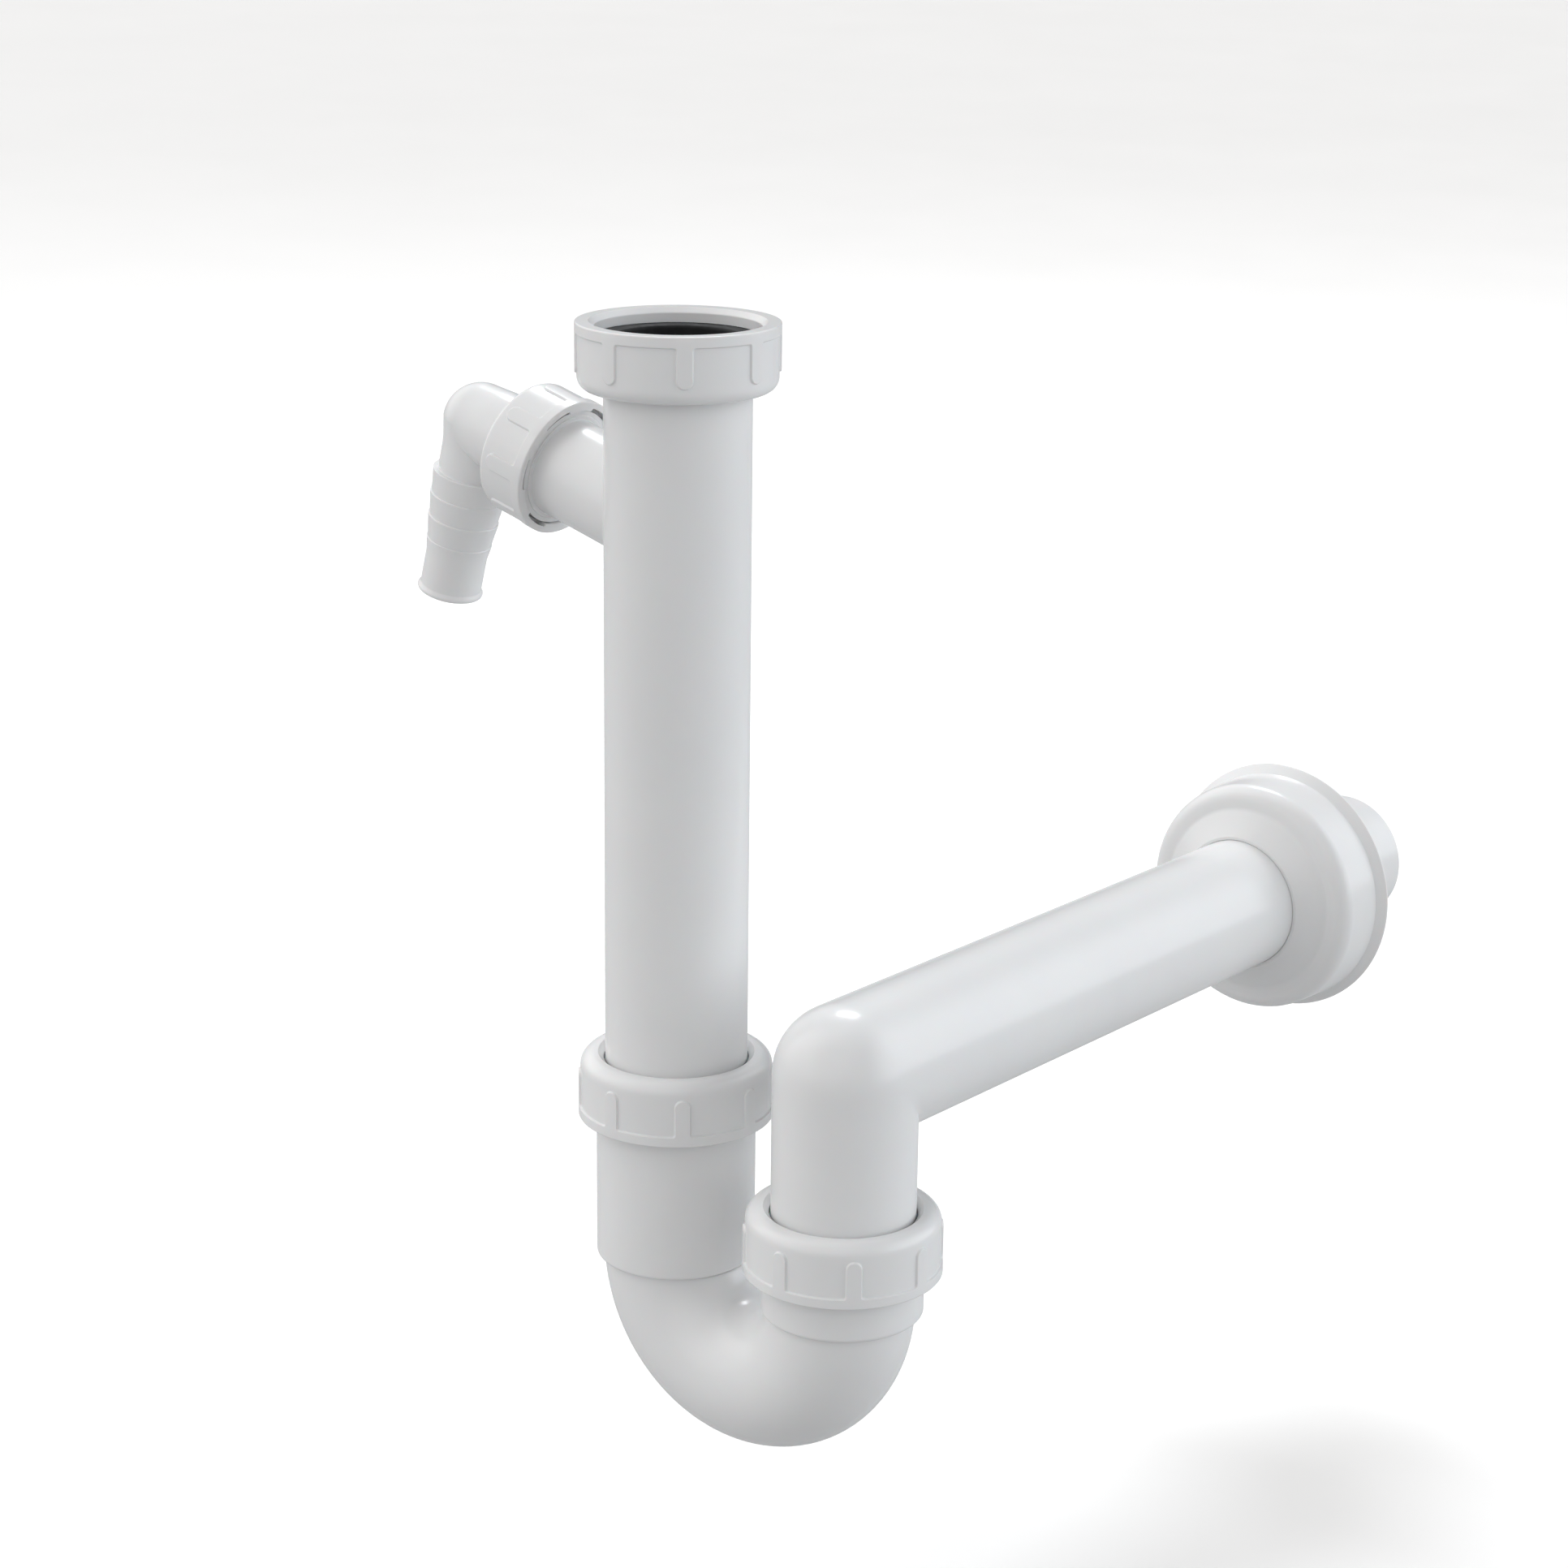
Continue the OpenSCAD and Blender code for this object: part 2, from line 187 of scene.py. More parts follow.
def rounded(corners, steps=5):
    """A closed outline through the corners, each given as (r, z, rounding)."""
    points = []
    for i, (r, z, radius) in enumerate(corners):
        here = np.array([r, z], float)
        if radius <= 0:
            points.append(here)
            continue
        back = np.array(corners[i - 1][:2], float) - here
        ahead = np.array(corners[(i + 1) % len(corners)][:2], float) - here
        back /= np.linalg.norm(back)
        ahead /= np.linalg.norm(ahead)
        half = math.acos(np.clip(back @ ahead, -1, 1)) / 2
        towards = (back + ahead) / np.linalg.norm(back + ahead)
        centre = here + towards * radius / math.sin(half)
        first = here + back * radius / math.tan(half) - centre
        last = here + ahead * radius / math.tan(half) - centre
        sweep = math.atan2(first[0] * last[1] - first[1] * last[0], first @ last)
        for k in range(steps + 1):
            c, s = math.cos(sweep * k / steps), math.sin(sweep * k / steps)
            points.append(centre + [c * first[0] - s * first[1], s * first[0] + c * first[1]])
    return points


def even_angles(count=COLUMNS):
    return np.arange(count) * TAU / count


def ring(radius, height, angles):
    """Points of one turn; radius and height may change from column to column."""
    ones = np.ones_like(angles)
    return np.stack([radius * np.cos(angles), radius * np.sin(angles), height * ones], axis=-1)


def rings(outline, angles):
    return [ring(r, z, angles) for r, z in outline]


def placed(rows, origin, x=(1, 0, 0), y=(0, 1, 0), z=(0, 0, 1)):
    """Rows of points moved from a local frame to the row frame."""
    return np.asarray(origin, float) + np.asarray(rows) @ np.array([x, y, z], float)


def along_branch(rows):
    return placed(rows, BRANCH_START, BRANCH_X, BRANCH_Y, BRANCH_AXIS)


def steps_between(low, high, step):
    return np.linspace(low, high, max(2, int(math.ceil((high - low) / step)) + 1))


class Skin:
    """Patches of quads that become one welded mesh."""

    def __init__(self):
        self.points = []
        self.quads = []
        self.count = 0

    def add(self, rows, wrap=True):
        """Quads between successive rows; wrap joins each row's last point to its first."""
        rows = np.asarray(rows, float)
        high, wide = rows.shape[:2]
        index = self.count + np.arange(high * wide).reshape(high, wide)
        if wrap:
            index = np.concatenate([index, index[:, :1]], axis=1)
        quads = [index[:-1, :-1], index[:-1, 1:], index[1:, 1:], index[1:, :-1]]
        self.quads.append(np.stack(quads, axis=-1).reshape(-1, 4))
        self.points.append(rows.reshape(-1, 3))
        self.count += high * wide
        return self

    def add_loop(self, rows):
        """As add, and the last row is joined to the first, which closes the shell."""
        rows = list(rows)
        return self.add(rows + rows[:1])


def piece(name, skin, node, material):
    """Welds a skin into a smooth piece that stands for a CAD node and rides on its body."""
    mesh = bpy.data.meshes.new(name)
    points = np.concatenate(skin.points) * MM
    mesh.from_pydata(points.tolist(), [], np.concatenate(skin.quads).tolist())
    shape = bmesh.new()
    shape.from_mesh(mesh)
    bmesh.ops.remove_doubles(shape, verts=shape.verts, dist=WELD)
    bmesh.ops.recalc_face_normals(shape, faces=shape.faces)
    shape.to_mesh(mesh)
    shape.free()
    mesh.polygons.foreach_set("use_smooth", [True] * len(mesh.polygons))
    mesh.set_sharp_from_angle(angle=math.radians(SHARP))
    mesh.materials.append(material)
    obj = bpy.data.objects.new(name, mesh)
    bpy.context.scene.collection.objects.link(obj)
    normals = obj.modifiers.new("normals", "WEIGHTED_NORMAL")
    normals.keep_sharp = True
    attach(obj, BODY[node])
    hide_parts(node)
    return obj


# ---------------------------------------------------------------- threads and nuts

def thread(angles, height):
    """0 at the root of a right-hand thread and 1 at its crest."""
    turn = height / PITCH - angles / TAU
    return np.clip(0.5 - 0.62 * np.cos(TAU * turn), 0, 1)


def ribbed(angles, height, wall_r, width, reach, band):
    """Outside radius of a nut: its wall with the band and the round-ended ribs standing out."""
    step = TAU / RIBS
    across = ((angles + step / 2) % step - step / 2) * wall_r
    rib = np.hypot(across, max(height - (reach - width / 2), 0)) - width / 2
    edge = soft_min(rib, height - band, 0.9)
    return wall_r + RIB_RISE * smooth(0.5 - edge / RIB_EDGE)


def nut_angles(wall_r, width, edges=()):
    """Columns round a nut, close together at its ribs and at the given edges."""
    fine = np.arange(-width / 2 - 0.45, width / 2 + 0.46, 0.17) / wall_r
    ribs = [k * TAU / RIBS + fine for k in range(RIBS)]
    near = [math.radians(edge) + np.arange(-2, 3) * 0.008 for edge in edges]
    angles = np.sort(np.concatenate([even_angles()] + ribs + near) % TAU)
    keep = np.concatenate([[True], np.diff(angles) > 0.004])
    return angles[keep]


def nut_outside(angles, wall_r, height, width, reach, band, top_round):
    """Rows over a nut's outside, from its open rim to the flat of its closed end."""
    rim = 0.45
    levels = np.concatenate([
        [rim, band - 0.6],
        steps_between(band - 0.45, band + 0.75, 0.12),
        steps_between(band + 1.2, reach - width / 2 - 0.3, 2.0),
        steps_between(reach - width / 2, reach + 0.35, 0.16),
    ])
    rib_r = wall_r + RIB_RISE
    rows = []
    for turn in np.linspace(0, math.pi / 2, 5):
        rows.append(ring(rib_r - rim + rim * math.sin(turn), rim - rim * math.cos(turn), angles))
    for level in levels[1:]:
        rows.append(ring(ribbed(angles, level, wall_r, width, reach, band), level, angles))
    for turn in np.linspace(0, math.pi / 2, 10):
        r = wall_r - top_round + top_round * math.cos(turn)
        z = height - top_round + top_round * math.sin(turn)
        rows.append(ring(r, z, angles))
    return rows


def big_nut(thread_start):
    """Rows of the 1 1/2 inch nut, open end at z = 0, its bore plain below thread_start."""
    wall_r = NUT_RIB_R - RIB_RISE
    width, reach, band, top_round = 4.3, 13.7, 3.0, 3.8
    floor_z = NUT_H - NUT_FLOOR
    hole_r, hole_chamfer = TUBE_R + 0.4, 1.6
    mouth, mouth_r = 1.4, 23.9
    angles = nut_angles(wall_r, width)
    rows = nut_outside(angles, wall_r, NUT_H, width, reach, band, top_round)
    hole = rounded([
        (wall_r - top_round, NUT_H, 0),
        (hole_r + hole_chamfer + 0.01, NUT_H, 0.3),
        (hole_r, NUT_H - hole_chamfer, 0.3),
        (hole_r, floor_z, 0.15),
        (BORE_R + 0.9, floor_z, 0),
    ], 3)
    rows += rings(hole[1:-1], angles)
    rows.append(ring(BORE_R + 0.2, floor_z, angles))
    for z in steps_between(0, floor_z - 0.2, THREAD_STEP)[::-1]:
        chamfer = mouth_r + (BORE_R - mouth_r) * min(z / mouth, 1)
        groove = BORE_R + THREAD * thread(angles, z - NUT_H) * fade(z, thread_start, floor_z - 0.6, 0.9)
        rows.append(ring(np.maximum(groove, chamfer), z, angles))
    return rows


def inlet_union_nut(material):
    """A large nut turned over, so that its open end is up."""
    rows = placed(big_nut(NUT_PLAIN_MOUTH), (0, 0, 0), y=(0, -1, 0), z=(0, 0, -1))
    piece("union_nut_body", Skin().add_loop(rows), "inlet_union_nut", material)


def compression_nut(name, node, x, top, material):
    """A large nut with its open end down, threaded right from its mouth."""
    rows = placed(big_nut(thread_start=-1.0), (x, 0, top - NUT_H))
    piece(name, Skin().add_loop(rows), node, material)


def small_nut(material):
    """The branch nut: open end towards the tube, with pockets round its mouth."""
    width, reach, band, top_round = 4.6, 13.4, 3.2, 1.8
    height = SMALL_NUT_H
    wall_r = SMALL_NUT_RIB_R - RIB_RISE
    floor_z = height - SMALL_NUT_FLOOR
    recess_r, recess_h = 16.75, 4.0
    pocket_rise, pocket_h, pocket_start, pocket_arc, pockets = 0.9, 3.0, 17, 30, 6
    bore_r = 15.15
    hole_r, hole_chamfer = 11.6, 0.6
    starts = [pocket_start + 360 / pockets * k for k in range(pockets)]
    edges = [start + side for start in starts for side in (0, pocket_arc)]
    angles = nut_angles(wall_r, width, edges)
    step = TAU / pockets
    centre = math.radians(pocket_start + pocket_arc / 2)
    off = np.abs((angles - centre + step / 2) % step - step / 2) - math.radians(pocket_arc / 2)
    pocket = recess_r + pocket_rise * smooth(0.5 - off / 0.012)
    rows = nut_outside(angles, wall_r, height, width, reach, band, top_round)
    hole = rounded([
        (wall_r - top_round, height, 0),
        (hole_r + hole_chamfer + 0.01, height, 0.2),
        (hole_r, height - hole_chamfer, 0.15),
        (hole_r, floor_z, 0.15),
        (bore_r + 0.9, floor_z, 0),
    ], 3)
    rows += rings(hole[1:-1], angles)
    rows.append(ring(bore_r + 0.2, floor_z, angles))
    for z in steps_between(recess_h, floor_z - 0.2, THREAD_STEP)[::-1]:
        groove = bore_r + THREAD * thread(angles, z - height) * fade(z, recess_h, floor_z - 0.6, 0.9)
        rows.append(ring(groove, z, angles))
    edge = 0.2
    rows.append(ring(recess_r - edge, recess_h, angles))
    rows.append(ring(recess_r, recess_h - edge, angles))
    rows.append(ring(recess_r, pocket_h + 0.02, angles))
    rows.append(ring(pocket - edge * (pocket > recess_r + edge), pocket_h, angles))
    rows.append(ring(pocket, pocket_h - edge, angles))
    rows.append(ring(pocket, edge, angles))
    rows.append(ring(pocket + 0.06, edge * 0.3, angles))
    rows.append(ring(pocket + edge, 0, angles))
    rows = placed(rows, CAP_OPEN, BRANCH_X, BRANCH_Y, BRANCH_AXIS)
    piece("branch_nut_body", Skin().add_loop(rows), "appliance_union_nut", material)


# ---------------------------------------------------------------- dip tube with its branch

def branch_meeting(tube_r, branch_r, fillet, angles, steps=6):
    """Rows of the fillet where the branch leaves a tube, from the tube's side to the branch's.

    Also gives each column's distance along the branch. Without a fillet there is one row, on the tube.
    """
    cos_up, sin_up = -BRANCH_AXIS[0], BRANCH_AXIS[2]
    reach = (branch_r + fillet) * np.cos(angles)
    side = (branch_r + fillet) * np.sin(angles)
    far = tube_r + fillet
    t = (reach * sin_up + np.sqrt(far ** 2 - side ** 2)) / cos_up
    centre = np.stack([reach, side, t], axis=-1)
    centre = along_branch(centre)
    on_tube = centre.copy()
    on_tube[:, :2] *= tube_r / far
    on_branch = along_branch(ring(branch_r, t, angles))
    if fillet == 0:
        return [on_tube], t
    rows = []
    first = (on_tube - centre) / fillet
    last = (on_branch - centre) / fillet
    opening = np.arccos(np.clip((first * last).sum(-1), -1, 1))[:, None]
    for share in np.linspace(0, 1, steps + 1):
        mix = np.sin((1 - share) * opening) * first + np.sin(share * opening) * last
        rows.append(centre + fillet * mix / np.sin(opening))
    return rows, t


def tube_side(skin, tube_r, rows_z, toe):
    """The tube's wall between the levels rows_z, with a window that narrows to the branch's toe."""
    columns = even_angles()
    quarter = BRANCH_COLUMNS // 4
    middle_column = COLUMNS // 2
    first, last = middle_column - quarter // 2, middle_column + quarter // 2
    grid = [ring(tube_r, z, columns) for z in rows_z]
    outer = np.concatenate([np.arange(last, COLUMNS), np.arange(0, first + 1)])
    skin.add([row[outer] for row in grid], wrap=False)
    lower = [(columns[last - k], rows_z[0]) for k in range(quarter)]
    left = [(columns[first], rows_z[k]) for k in range(quarter)]
    upper = [(columns[first + k], rows_z[-1]) for k in range(quarter)]
    right = [(columns[last], rows_z[-1 - k]) for k in range(quarter)]
    window = np.array(lower + left + upper + right)
    toe_angle = np.arctan2(toe[:, 1], toe[:, 0]) % TAU
    toe_flat = np.stack([toe_angle, toe[:, 2]], axis=-1)
    spans = []
    for share in np.linspace(0, 1, 7):
        flat = window * (1 - share) + toe_flat * share
        spans.append(ring(tube_r, 0, flat[:, 0]) + flat[:, 1:] * [[0, 0, 1]])
    skin.add(spans)


def window_angles():
    """Angles round the branch that face the window's points, from its lower corner round."""
    return -3 * math.pi / 4 - np.arange(BRANCH_COLUMNS) * TAU / BRANCH_COLUMNS


def dip_tube(material):
    """The tube with its flange, and the branch that leaves it through a window of quads."""
    branch_r, fillet = 14.0, 1.6
    flange_t = 3.0
    middle_z = BRANCH_START[2] + TUBE_R * BRANCH_AXIS[2] / -BRANCH_AXIS[0]
    window_half = 22.0
    levels = np.linspace(middle_z - window_half, middle_z + window_half, BRANCH_COLUMNS // 4 + 1)
    columns = even_angles()
    skin = Skin()
    lower = rounded([
        (TUBE_BORE, levels[0], 0),
        (TUBE_BORE, DIP_END_Z, 0.25),
        (TUBE_R, DIP_END_Z, 0.6),
        (TUBE_R, levels[0], 0),
    ])
    upper = rounded([
        (TUBE_R, levels[-1], 0),
        (TUBE_R, FLANGE_TOP_Z - flange_t, 0.5),
        (FLANGE_R, FLANGE_TOP_Z - flange_t, 0.3),
        (FLANGE_R, FLANGE_TOP_Z, 0.3),
        (TUBE_BORE, FLANGE_TOP_Z, 0.3),
        (TUBE_BORE, levels[-1], 0),
    ])
    skin.add(rings(lower, columns))
    skin.add(rings(upper, columns))
    angles = window_angles()
    outside, _ = branch_meeting(TUBE_R, branch_r, fillet, angles)
    inside, enter = branch_meeting(TUBE_BORE, BRANCH_BORE, 0, angles)
    tube_side(skin, TUBE_R, levels, outside[0])
    tube_side(skin, TUBE_BORE, levels, inside[0])
    male_r, end = 15.1, BRANCH_END_T
    step_r, collar_r = 15.2, 16.55
    collar = rounded([
        (branch_r, CAP_T - 6, 0),
        (branch_r, CAP_T + 0.4, 0.2),
        (step_r, CAP_T + 0.4, 0.15),
        (step_r, CAP_T + 0.8, 0.15),
        (collar_r, CAP_T + 0.8, 0.15),
        (collar_r, CAP_T + 3.6, 0.25),
        (male_r, CAP_T + 3.6, 0),
    ], 3)
    rows = rings(collar, angles)
    for t in steps_between(CAP_T + 3.8, end - 0.2, THREAD_STEP):
        crest = (THREAD - THREAD_GAP) * thread(angles, t - CAP_T - SMALL_NUT_H)
        rows.append(ring(male_r + crest * fade(t, CAP_T + 4.4, end - 0.5, 0.8), t, angles))
    rows.append(ring(male_r - 0.25, end, angles))
    rows.append(ring(BRANCH_BORE + 0.2, end, angles))
    rows.append(ring(BRANCH_BORE, end - 0.2, angles))
    rows.append(ring(BRANCH_BORE, enter, angles))
    skin.add(outside + list(along_branch(rows)))
    piece("dip_tube_body", skin, "dip_tube", material)


# ---------------------------------------------------------------- corners and bends

def corner_rows(corner, back, ahead, back_line, ahead_line, angles):
    """Rows round a ball corner: in along back, over the ball, out along ahead.

    back_line and ahead_line list (distance, radius) from the corner outwards. The inner side
    runs to the crease where the two arms meet.
    """
    side = np.cross(back, ahead)

    def back_at(distance):
        return np.interp(distance, *zip(*back_line))

    def ahead_at(distance):
        return np.interp(distance, *zip(*ahead_line))

    ball = back_line[0][1]
    sine, cosine = np.sin(angles), np.cos(angles)
    inner = cosine < -1e-9
    p = np.where(inner, -ball * cosine, 0.0)
    for _ in range(40):
        r = back_at(p)
        q = np.where(inner, -r * cosine, 0.0)
        p = np.where(inner, np.sqrt(np.maximum(ahead_at(q) ** 2 - (r * sine) ** 2, 0)), 0.0)
    around_ahead = np.where(inner, np.arctan2(back_at(p) * sine, -p), angles)
    around_ahead = np.unwrap(np.where(around_ahead < -1e-9, around_ahead + TAU, around_ahead))

    def on_arm(arm, other, distance, radius, turn):
        across = (radius * np.sin(turn))[:, None] * side - (radius * np.cos(turn))[:, None] * other
        return corner + np.multiply.outer(distance, arm) + across

    def on_back(distance, radius, turn):
        return on_arm(back, ahead, distance, radius, turn)

    def on_ahead(distance, radius, turn):
        return on_arm(ahead, back, distance, radius, turn)

    ones = np.ones_like(angles)
    near = ball * 1.12
    rows = [on_back(s * ones, r * ones, angles) for s, r in reversed(back_line) if s > near]
    for share in np.linspace(1, 0, 7):
        s = p + (near - p) * share
        rows.append(on_back(s, back_at(s), angles))
    for tilt in np.linspace(0, math.pi / 2, 15)[1:-1]:
        turned = (corner + ball * (sine[:, None] * side - (cosine * math.cos(tilt))[:, None] * ahead
                                   - (cosine * math.sin(tilt))[:, None] * back))
        crease = on_back(p, back_at(p), angles)
        rows.append(np.where(inner[:, None], crease, turned))
    for share in np.linspace(0, 1, 7):
        s = q + (near - q) * share
        turn = around_ahead + (angles - around_ahead) * share
        row = on_ahead(s, ahead_at(s), turn)
        if share == 0:
            row = np.where(inner[:, None], on_back(p, back_at(p), angles), row)
        rows.append(row)
    rows += [on_ahead(s * ones, r * ones, angles) for s, r in ahead_line if s > near]
    return rows


def outlet_pipe(material):
    """The leg and the straight run, met at a ball corner."""
    corner = np.array([LEG_X, 0, CORNER_Z])
    down, out = np.array([0.0, 0.0, -1.0]), np.array([0.0, 1.0, 0.0])
    leg, run = CORNER_Z - LEG_END_Z, PIPE_END_Y
    edge = 0.5

    def line(length, radius, inward):
        """Distances and radii along an arm whose end is rounded inwards (1) or outwards (-1)."""
        points = [(0, radius), (length / 2, radius)]
        for turn in np.linspace(0, math.pi / 2, 5):
            shrink = inward * edge * (1 - math.cos(turn))
            points.append((length - edge + edge * math.sin(turn), radius - shrink))
        return points

    angles = even_angles()
    outside = corner_rows(corner, down, out, line(leg, TUBE_R, 1), line(run, TUBE_R, 1), angles)
    inside = corner_rows(corner, down, out, line(leg, TUBE_BORE, -1), line(run, TUBE_BORE, -1), angles)
    piece("outlet_pipe_body", Skin().add_loop(outside + inside[::-1]), "outlet_pipe", material)


def hose_elbow(material):
    """Arm with its flange, ball corner, and a hose tail of four steps with a bead at its end."""
    arm_r, ball = 11.5, 10.8
    flange_in_t, flange_out_t, arm_end_t = 53.96, 55.54, 68
    flange_in, flange_out, arm_straight = (ELBOW_T - t for t in (flange_in_t, flange_out_t, arm_end_t))
    flange_r = 15.0
    arm = [
        (0, ball), (arm_straight, arm_r), (flange_out - 0.3, arm_r), (flange_out, arm_r + 0.3),
        (flange_out, flange_r - 0.2), (flange_out + 0.2, flange_r), (flange_in - 0.2, flange_r),
        (flange_in, flange_r - 0.2)]
    steps = [(15.7, 9.65, 11.0), (22.7, 10.35, 10.7), (29.6, 9.8, 10.15), (36.6, 9.2, 9.4)]
    tail = [(0, ball), (7, 9.7)]
    for place, under, over in steps:
        tail += [(place - 0.12, under), (place, under + 0.12)]
        tail += [(place + 0.02, over - 0.12), (place + 0.16, over)]
    tail += [(41, 8.75), (50.5, 8.75), (50.9, 8.95)]
    bead_r, bead_at, bead_round = 9.4, 52.0, 0.85
    for turn in np.linspace(-40, 90, 8):
        a = math.radians(turn)
        tail.append((bead_at + bead_round * math.sin(a), bead_r - bead_round + bead_round * math.cos(a)))
    end = bead_at + bead_round
    ball_bore, arm_bore_r, tail_bore_r = 8.2, 9.6, 6.9
    arm_bore = [
        (0, ball_bore), (12, arm_bore_r), (flange_in - 0.2, arm_bore_r), (flange_in, arm_bore_r + 0.2)]
    tail_bore = [(0, ball_bore), (12, tail_bore_r), (end - 0.4, tail_bore_r), (end, tail_bore_r + 0.4)]
    angles = even_angles()
    outside = corner_rows(ELBOW, -BRANCH_AXIS, TAIL_AXIS, arm, tail, angles)
    inside = corner_rows(ELBOW, -BRANCH_AXIS, TAIL_AXIS, arm_bore, tail_bore, angles)
    piece("hose_elbow_body", Skin().add_loop(outside + inside[::-1]), "appliance_elbow", material)


def trap_bend(material):
    """The U and its two sockets, as one shell: down the inlet socket, round the U, up the outlet's."""
    half_gap = LEG_X / 2
    bend_out, bend_in = 20.3, TUBE_BORE + 0.2
    bend_z = BEND_LOW_Z + half_gap + bend_out
    centre = np.array([half_gap, 0, bend_z])
    angles = even_angles()
    sine, cosine = np.sin(angles), np.cos(angles)
    socket_drop, fillet = 2.5, 1.0
    socket_r, socket_z = 22.5, bend_z - socket_drop
    male_r, seal_r = BORE_R - 0.05, 21.65
    hold_r = TUBE_R + 0.25

    def leg_ring(side, radius, z):
        """A ring about one leg's axis: side -1 is the inlet leg, 1 the outlet leg."""
        x = half_gap + side * half_gap + side * radius * cosine
        return np.stack([x, radius * sine, z * np.ones_like(angles)], axis=-1)

    def bend_row(radius, turn):
        """Points of the U at sweep turn, which may change from column to column."""
        away = half_gap + radius * cosine
        x = -away * np.cos(turn)
        z = -away * np.sin(turn)
        return centre + np.stack([x, radius * sine, z], axis=-1)

    def bend_rows(radius, drop, count=56):
        start = np.arcsin(np.clip(drop / (half_gap + radius * cosine), 0, 1))
        return [bend_row(radius, start + (math.pi - 2 * start) * k / count) for k in range(count + 1)]

    def foot(side):
        """The concave rounding between a socket's underside and the U, from the underside down."""
        edge = bend_rows(bend_out, socket_drop + fillet, 1)[0 if side < 0 else 1]
        axis = np.array([half_gap + side * half_gap, 0])
        out = edge[:, :2] - axis
        out /= np.linalg.norm(out, axis=1)[:, None]
        rows = []
        for turn in np.linspace(0, math.pi / 2, 5)[:-1]:
            row = edge.copy()
            row[:, :2] += out * fillet * (1 - math.sin(turn))
            row[:, 2] = socket_z - fillet * (1 - math.cos(turn))
            rows.append(row)
        return rows

    def socket_outside(side, top):
        mouth, nut_low = top - MOUTH_DROP, top - NUT_H
        azimuth = np.arctan2(sine, side * cosine)
        rows = [leg_ring(side, seal_r + 0.15, mouth), leg_ring(side, male_r - 0.3, mouth),
                leg_ring(side, male_r - 0.08, mouth - 0.1), leg_ring(side, male_r, mouth - 0.3)]
        for z in steps_between(nut_low + 0.9, mouth - 0.4, THREAD_STEP)[::-1]:
            crest = (THREAD - THREAD_GAP) * thread(azimuth, z - top)
            radius = male_r + crest * fade(z, nut_low + 1.2, mouth - 0.5, 0.8)
            rows.append(leg_ring(side, radius, z))
        rows.append(leg_ring(side, male_r, nut_low - 0.8))
        rows.append(leg_ring(side, socket_r, nut_low - 1.0))
        rows.append(leg_ring(side, socket_r, (nut_low + socket_z) / 2))
        shoulder = socket_r - bend_out - fillet
        for turn in np.linspace(0, math.pi / 2, 7):
            radius = socket_r - shoulder + shoulder * math.cos(turn)
            rows.append(leg_ring(side, radius, socket_z + shoulder - shoulder * math.sin(turn)))
        return rows + foot(side)

    def socket_inside(side, top):
        mouth = top - MOUTH_DROP
        seat = mouth - 6.1
        ledge = bend_z + 2.2
        return [leg_ring(side, bend_in + 0.3, bend_z - 1), leg_ring(side, bend_in + 0.3, ledge),
                leg_ring(side, hold_r, ledge), leg_ring(side, hold_r, seat),
                leg_ring(side, hold_r + 0.7, seat), leg_ring(side, seal_r, mouth - 0.15)]

    outside = socket_outside(-1, INLET_NUT_TOP) + bend_rows(bend_out, socket_drop + fillet)
    outside += socket_outside(1, OUTLET_NUT_TOP)[::-1]
    inside = socket_inside(1, OUTLET_NUT_TOP)[::-1] + bend_rows(bend_in, 1.0)[::-1]
    inside += socket_inside(-1, INLET_NUT_TOP)
    piece("trap_bend_body", Skin().add_loop(outside + inside), "trap_bend", material)


# ---------------------------------------------------------------- washers, rings and rosette

def turned(name, node, corners, material, origin=(0, 0, 0)):
    """A closed ring turned from its rounded corners."""
    rows = placed(rings(rounded(corners, 4), even_angles()), origin)
    piece(name, Skin().add_loop(rows), node, material)


def washers(material):
    """The union nut's washer with its sleeve in the tube, and the branch nut's flat washer."""
    low, top = span("inlet_gasket", "z")
    sleeve, hole, rim, flat = TUBE_BORE - 0.1, 16.6, 22.3, FLANGE_TOP_Z + 0.02
    turned("inlet_washer_body", "inlet_gasket", [
        (hole, low, 0.4), (sleeve, low, 0.3), (sleeve, flat, 0),
        (rim, flat, 0.3), (rim, top, 0.5), (hole, top, 0.9)], material)
    start, end = BRANCH_END_T + 0.03, BRANCH_END_T + 0.03 + RING_H
    hole, rim, edge = 12.0, 15.0, 0.25
    outline = rounded([(hole, start, edge), (rim, start, edge), (rim, end, edge), (hole, end, edge)], 3)
    rows = along_branch(rings(outline, even_angles()))
    piece("branch_washer_body", Skin().add_loop(rows), "appliance_gasket", material)


def seals(seal, slip):
    """The wedge seal in each socket's mouth and the slip ring that presses on it."""
    seal_bore, thin_r, thick_r, seal_h = TUBE_R + 0.03, 20.88, 21.58, 6.0
    ring_bore, ring_r, edge = TUBE_R + 0.1, 22.2, 0.2
    for side, x, top in (("inlet", 0, INLET_NUT_TOP), ("outlet", LEG_X, OUTLET_NUT_TOP)):
        mouth = top - MOUTH_DROP
        turned(side + "_seal_body", side + "_wedge_seal", [
            (seal_bore, mouth - seal_h, 0.15), (thin_r, mouth - seal_h, 0.25),
            (thick_r, mouth - 0.02, 0.25), (seal_bore, mouth - 0.02, 0.15)], seal, (x, 0, 0))
        low = top - NUT_FLOOR - RING_H - 0.05
        turned(side + "_ring_body", side + "_slip_ring", [
            (ring_bore, low, edge), (ring_r, low, edge),
            (ring_r, low + RING_H, edge), (ring_bore, low + RING_H, edge)], slip, (x, 0, 0))


